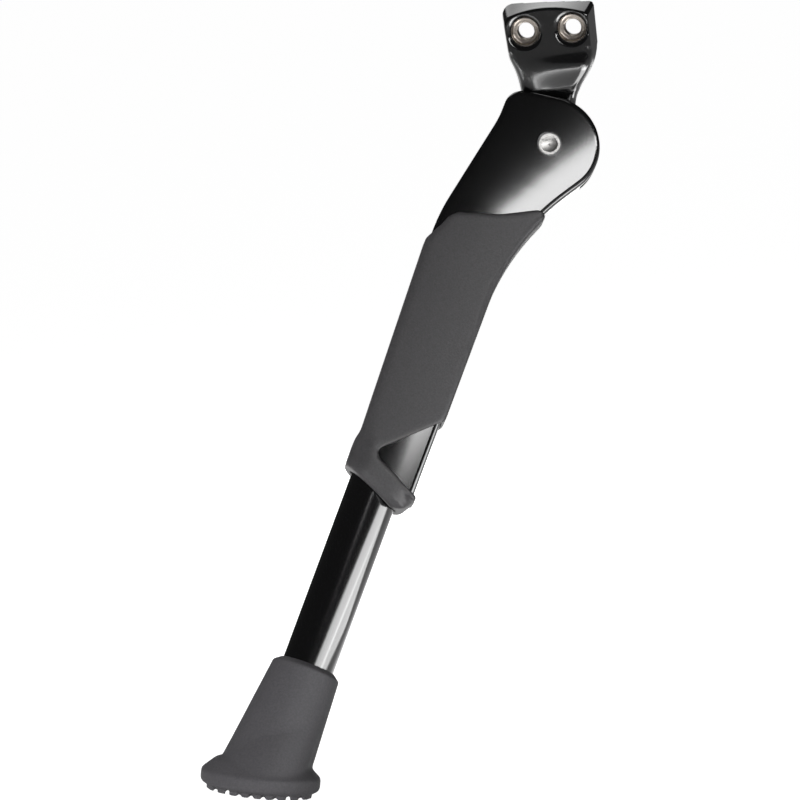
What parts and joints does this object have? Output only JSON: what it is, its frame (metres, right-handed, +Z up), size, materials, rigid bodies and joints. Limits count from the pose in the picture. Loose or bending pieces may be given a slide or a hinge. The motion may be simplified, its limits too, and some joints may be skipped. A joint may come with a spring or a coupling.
{
  "type": "bicycle kickstand",
  "caption": "Rear-mount side kickstand with a bolt-on bracket, a swinging covered leg, a sliding lower tube and a rubber foot.",
  "frame": {"origin": "midway between the two bolt holes, on the face that lies against the bicycle frame", "axes": "+X towards the rear wheel, +Y into the bicycle frame, +Z up"},
  "size_m": [0.1647, 0.1241, 0.2829],
  "materials": {
    "black_paint": "gloss",
    "grey_plastic": "matt",
    "grey_rubber": "matt",
    "pin_steel": "bright",
    "screw_steel": "blackened",
    "spring_steel": "bright"
  },
  "bodies": {
    "bracket": {"mounting_bracket": "black_paint"},
    "leg": {"upper_leg": "black_paint", "pivot_pin": "pin_steel", "leg_cover": "grey_plastic", "clamp_screw": "screw_steel", "detent_spring": "spring_steel"},
    "tube": {"lower_leg": "black_paint", "rubber_foot": "grey_rubber"},
    "plunger": {"detent_plunger": "pin_steel"}
  },
  "joints": [
    {"name": "leg_swing", "type": "hinge", "parent": "bracket", "child": "leg", "pos_m": [-0.0044, -0.009, -0.0445], "axis": [0.2091, -0.943, 0.2588], "range_deg": [0, 105]},
    {"name": "leg_extend", "type": "slide", "parent": "leg", "child": "tube", "axis": [-0.3933, -0.3234, -0.8606], "range_m": [-0.035, 0.02]},
    {"name": "plunger_slide", "type": "slide", "parent": "leg", "child": "plunger", "axis": [0.6116, 0.3326, 0.7178], "range_m": [0, 0.0013], "deforming": ["detent_spring"]}
  ]
}
